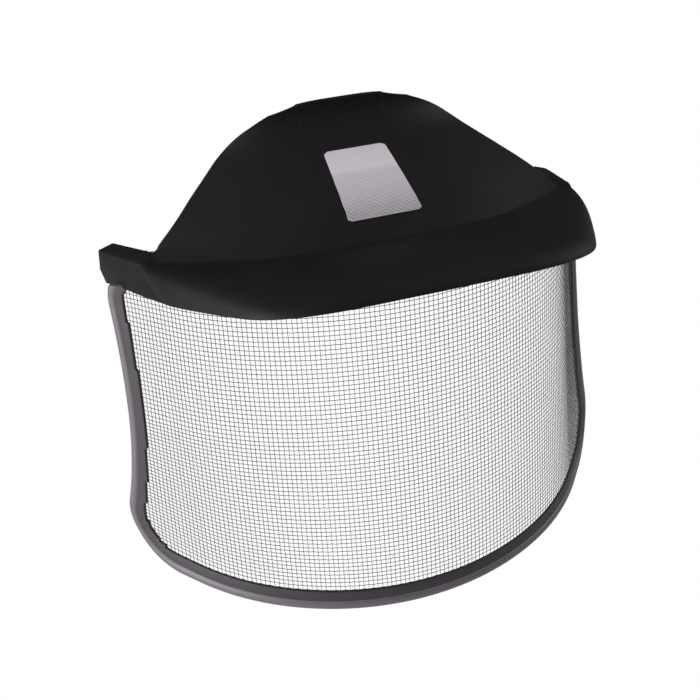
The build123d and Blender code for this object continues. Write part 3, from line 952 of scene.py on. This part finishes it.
    def skin(self, across: int = 321, over: int = 40, up: int = 60) -> np.ndarray:
        """Outer surface as a grid: a superellipse from edge to crease, then the dome."""
        share = np.linspace(-1, 1, across)[:, None]
        reach = np.abs(share)
        rise = self.crease_height + 3.0 * smoothstep(0.955, 1.0, reach)
        crease = self.dome(share, rise)
        edge = self.lower_edge(share)
        turn = (np.linspace(0, 1, over) * pi / 2)[None, :, None]
        power = 2 / (self.fullness + 2.4 * smoothstep(0.5, 1.0, reach)[..., None])
        flat = np.array([1.0, 1.0, 0.0])
        lift = np.stack([0 * rise, 0 * rise, rise], axis=-1)
        low = edge * np.array([0.0, 0.0, 1.0])
        lean = unit((crease - edge) * flat) * self.side_lean
        ease, climb = np.cos(turn) ** power, np.sin(turn) ** power
        brim = (crease * flat + (edge - crease) * flat * ease - lean * (1 - ease - climb)
                + lift * climb + low * (1 - np.sin(turn)))
        past = np.clip((reach - self.side_share) / (1 - self.side_share), 0, 1)
        spread = self.flat_half * np.clip(reach / self.side_share, 0, 1) + self.rim_reach * past
        top = self.rim_top - self.rim_drop * (spread / (self.flat_half + self.rim_reach)) ** self.rim_power
        height = rise + (top - rise) * np.linspace(0, 1, up + 1)[None, 1:]
        return self.cut(np.concatenate([brim, self.dome(share + 0 * height, height)], axis=1))

    def arm_loops(self, side: Side) -> np.ndarray:
        """Loops of one arm from its root to its open rear end and back into the socket.

        They turn the wrong way on both sides, so the arms' faces point inwards: a known fault.
        """
        root = np.array([[97.9, -31, 0.8], [94.4, -29, 9.4], [87.7, -29.5, 12.8], [89.0, -31, 0.8]])
        front = np.array([[99.9, -27, 0.0], [96.8, -24.3, 11.3], [89.4, -25.4, 14.5], [90.4, -27, 0.0]])
        heel = np.array([[105.5, 5.0, -2.5], [104.3, 5.0, 10.8], [97.3, 4.6, 13.1], [98.4, 5.0, -2.5]])
        rear = np.array([[106.3, 11, 2.0], [105.6, 11, 10.7], [98.9, 10.2, 12.9], [99.3, 10.4, 2.0]])
        centre = rear.mean(axis=0)
        mouth = centre + (rear - centre) * np.array([0.5, 1, 0.66])
        deep = mouth - np.array([1.6, 7.0, -0.2])
        corners = np.stack([root, front, heel, rear, mouth, deep])
        corners[:, :, 0] *= side.value
        loops = rounded_loops(GUARD.world(corners), 0.6)
        return loops if side is Side.RIGHT else loops[:, ::-1]

    def web(self) -> np.ndarray:
        """Hanging web that the cloth is riveted to: closed loops along the screen's plan."""
        arc = np.linspace(-self.web_reach, self.web_reach, 161)
        plan = PLAN.place(arc, 0 * arc, 0 * arc + (self.web_inner + self.web_outer) / 2)
        skin = GUARD.world(self.skin(121, 20, 6)).reshape(-1, 3)
        gaps = np.linalg.norm(skin[None, :, :2] - plan[:, None, :2], axis=2)
        low = GUARD.level(self.web_low, plan[:, 1])
        high = skin[np.argmin(gaps, axis=1), 2] - self.web_gap
        inner, outer = 0 * arc + self.web_inner, 0 * arc + self.web_outer
        corners = np.stack([PLAN.place(arc, low, outer), PLAN.place(arc, high, outer),
                            PLAN.place(arc, high, inner), PLAN.place(arc, low, inner)], axis=1)
        return corners[:, ::-1]

    def boss(self, side: Side) -> np.ndarray:
        """Pivot boss on the arm's inner wall: rings about the tilt axis with a small chamfer."""
        angle = np.linspace(0, 2 * pi, 48, endpoint=False)
        stations = np.array([[99.0, 6.8], [94.5, 6.8], [94.0, 6.3], [94.0, 2.7], [96.0, 2.7]])
        ring = np.stack([0 * angle, np.cos(angle), np.sin(angle)], axis=-1)
        loops = ring[None] * stations[:, None, 1:] + stations[:, None, :1] * np.array([1.0, 0, 0])
        loops[:, :, 0] *= side.value
        return loops if side is Side.LEFT else loops[:, ::-1]

    def build(self) -> None:
        """Make the skin, the web, the arms and the bosses in one finish."""
        material = self.finish.build()
        pieces = [shell("brow_guard_skin", GUARD.world(self.skin()), self.wall),
                  loft("screen_web", self.web())]
        for side in Side:
            pieces.append(loft("arm_" + side.name.lower(), self.arm_loops(side), crease=30.0))
            pieces.append(loft("pivot_boss_" + side.name.lower(), self.boss(side)))
        for piece in pieces:
            piece.data.materials.append(material)
            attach(piece, VISOR)
            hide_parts("brow_guard")
        log.info("brow guard: %d pieces", len(pieces))


@dataclass
class LabelPlate:
    """Silver plate, tapered and with rounded corners, that follows the dome's flat panel."""

    guard: BrowGuard
    low: float = 18.2
    high: float = 41.3
    length: float = 37.8
    top_half: float = 13.3
    bottom_half: float = 15.7
    corner: float = 1.8
    proud: float = 0.45
    thickness: float = 0.6
    rows: int = 40
    columns: int = 33
    finish: PrintedFilm = field(default_factory=lambda: PrintedFilm("label_film"))

    def build(self) -> None:
        """Map a rounded rectangle onto the panel and give it a thickness."""
        up = np.linspace(0, 1, self.rows)
        from_end = np.minimum(up, 1 - up) * self.length
        bite = np.clip(self.corner - from_end, 0, None)
        inset = self.corner - np.sqrt(np.clip(self.corner ** 2 - bite ** 2, 0, None))
        half = self.bottom_half + (self.top_half - self.bottom_half) * up - inset
        across = np.linspace(-1, 1, self.columns)[:, None] * half[None, :]
        height = self.low + (self.high - self.low) * up[None, :] + 0 * across
        share = across / self.guard.flat_half * self.guard.side_share
        points = GUARD.world(self.guard.dome(share, height))
        points = points + grid_normals(points) * self.proud
        uv = np.stack([across, up[None, :] * self.length + 0 * across], axis=-1)
        piece = shell("label_plate_film", points, self.thickness, uv)
        piece.data.materials.append(self.finish.build())
        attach(piece, VISOR)
        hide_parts("label_plate")
        log.info("label plate: %d faces", len(piece.data.polygons))


# ------------------------------------------------------------------ hardware kept from the frame


@dataclass
class Hardware:
    """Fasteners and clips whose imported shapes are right: they only get their finishes."""

    def build(self) -> None:
        """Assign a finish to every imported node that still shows."""
        steel = PlainMetal("zinc_steel", (0.55, 0.55, 0.57, 1.0), 0.32).build()
        brass = PlainMetal("turned_brass", (0.72, 0.53, 0.25, 1.0), 0.28).build()
        nylon = MouldedPlastic("natural_nylon", 0.55, 0.42, 900.0, 0.00002).build()
        black = MouldedPlastic("rivet_plastic", 0.012, 0.45, 1800.0, 0.00003).build()
        clip = MouldedPlastic("clip_plastic", 0.016, 0.48, 2200.0, 0.00004).build()
        finishes = {"pivot_insert": brass, "pivot_screw": steel, "friction_washer": nylon,
                    "wave_washer": steel, "grub_screw": steel, "pivot_clip": clip,
                    "screen_retainer": black, "screen_rivets": black, "rivet_washers": steel}
        for ending, material in finishes.items():
            for name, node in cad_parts.items():
                if name.endswith(ending):
                    node.data.materials.clear()
                    node.data.materials.append(material)
        log.info("hardware: %d finishes", len(finishes))


# ------------------------------------------------------------------ studio


@dataclass
class Studio:
    """White floor and surroundings, soft lamps and the camera."""

    place: tuple = (-0.1629, -0.4859, 0.1849)
    forward: tuple = (0.28435, 0.85616, -0.43144)
    roll: float = -4.2
    lens: float = 63.6
    floor_drop: float = 0.16
    floor_reach: float = 4000.0
    thrown_light: float = 0.07

    def camera(self) -> None:
        """Aim the camera along its direction, then roll it about that direction."""
        data = bpy.data.cameras.new("camera")
        data.lens = self.lens
        data.sensor_width = 36.0
        data.clip_start = 0.01
        data.clip_end = 50.0
        camera = bpy.data.objects.new("camera", data)
        aim = Vector(self.forward).to_track_quat("-Z", "Y")
        camera.rotation_mode = "QUATERNION"
        camera.rotation_quaternion = aim @ Quaternion((0, 0, 1), radians(self.roll))
        camera.location = self.place
        bpy.context.scene.collection.objects.link(camera)
        bpy.context.scene.camera = camera

    def backdrop_material(self) -> bpy.types.Material:
        """White for the camera, matte grey-white for every other ray."""
        shader = Shader("backdrop")
        shader.set(Base_Color=grey(0.8), Roughness=0.9)
        rays = shader.node("ShaderNodeLightPath", {})
        seen = Value(shader, rays.outputs["Is Camera Ray"])
        white = shader.node("ShaderNodeEmission", {"Color": grey(1.0), "Strength": 1.0})
        mixed = shader.node("ShaderNodeMixShader", {0: seen, 1: shader.surface.outputs["BSDF"],
                                                    2: white.outputs["Emission"]})
        shader.links.new(mixed.outputs[0], shader.nodes["Material Output"].inputs["Surface"])
        return shader.material

    def world(self) -> None:
        """White surroundings for the camera and a low level for the light they throw."""
        world = bpy.data.worlds.new("studio")
        bpy.context.scene.world = world
        world.use_nodes = True
        nodes, links = world.node_tree.nodes, world.node_tree.links
        nodes.clear()
        rays = nodes.new("ShaderNodeLightPath")
        seen = nodes.new("ShaderNodeBackground")
        seen.inputs["Color"].default_value = grey(1.0)
        seen.inputs["Strength"].default_value = 1.0
        thrown = nodes.new("ShaderNodeBackground")
        thrown.inputs["Color"].default_value = grey(1.0)
        thrown.inputs["Strength"].default_value = self.thrown_light
        mixed = nodes.new("ShaderNodeMixShader")
        output = nodes.new("ShaderNodeOutputWorld")
        links.new(rays.outputs["Is Camera Ray"], mixed.inputs[0])
        links.new(thrown.outputs[0], mixed.inputs[1])
        links.new(seen.outputs[0], mixed.inputs[2])
        links.new(mixed.outputs[0], output.inputs["Surface"])

    def lamp(self, name: str, place: tuple, target: tuple, size: float, power: float) -> None:
        """Add a square area lamp aimed at a point."""
        data = bpy.data.lights.new(name, "AREA")
        data.size = size
        data.energy = power
        lamp = bpy.data.objects.new(name, data)
        lamp.location = place
        lamp.rotation_euler = (Vector(target) - Vector(place)).to_track_quat("-Z", "Y").to_euler()
        bpy.context.scene.collection.objects.link(lamp)

    def build(self) -> None:
        """Set the floor, the lamps, the world and the camera."""
        low = CAD_BOUNDS[0][2] - self.floor_drop
        corners = np.array([[-1, -1], [1, -1], [1, 1], [-1, 1]]) * self.floor_reach
        points = np.column_stack([corners, np.full(len(corners), low / MM)])
        floor = add_mesh("floor", points, np.array([[0, 1, 2, 3]]))
        floor.data.materials.append(self.backdrop_material())
        self.world()
        self.lamp("left_softbox", (-1.15, -0.35, 0.35), (0, 0, 0), 1.0, 30.0)
        self.lamp("right_softbox", (1.2, -0.2, 0.55), (0, 0, 0), 1.0, 10.0)
        self.lamp("top_softbox", (0.0, 0.3, 1.4), (0, 0, 0), 1.4, 3.0)
        self.camera()
        bpy.context.scene.view_settings.view_transform = "Standard"
        log.info("studio: floor at %.3f m", low)


def main() -> None:
    """Build the shield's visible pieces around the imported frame, then the studio."""
    guard = BrowGuard()
    guard.build()
    LabelPlate(guard).build()
    EdgeTrim().build()
    WovenScreen().build()
    Hardware().build()
    Studio().build()


if __name__ == "__main__":
    main()
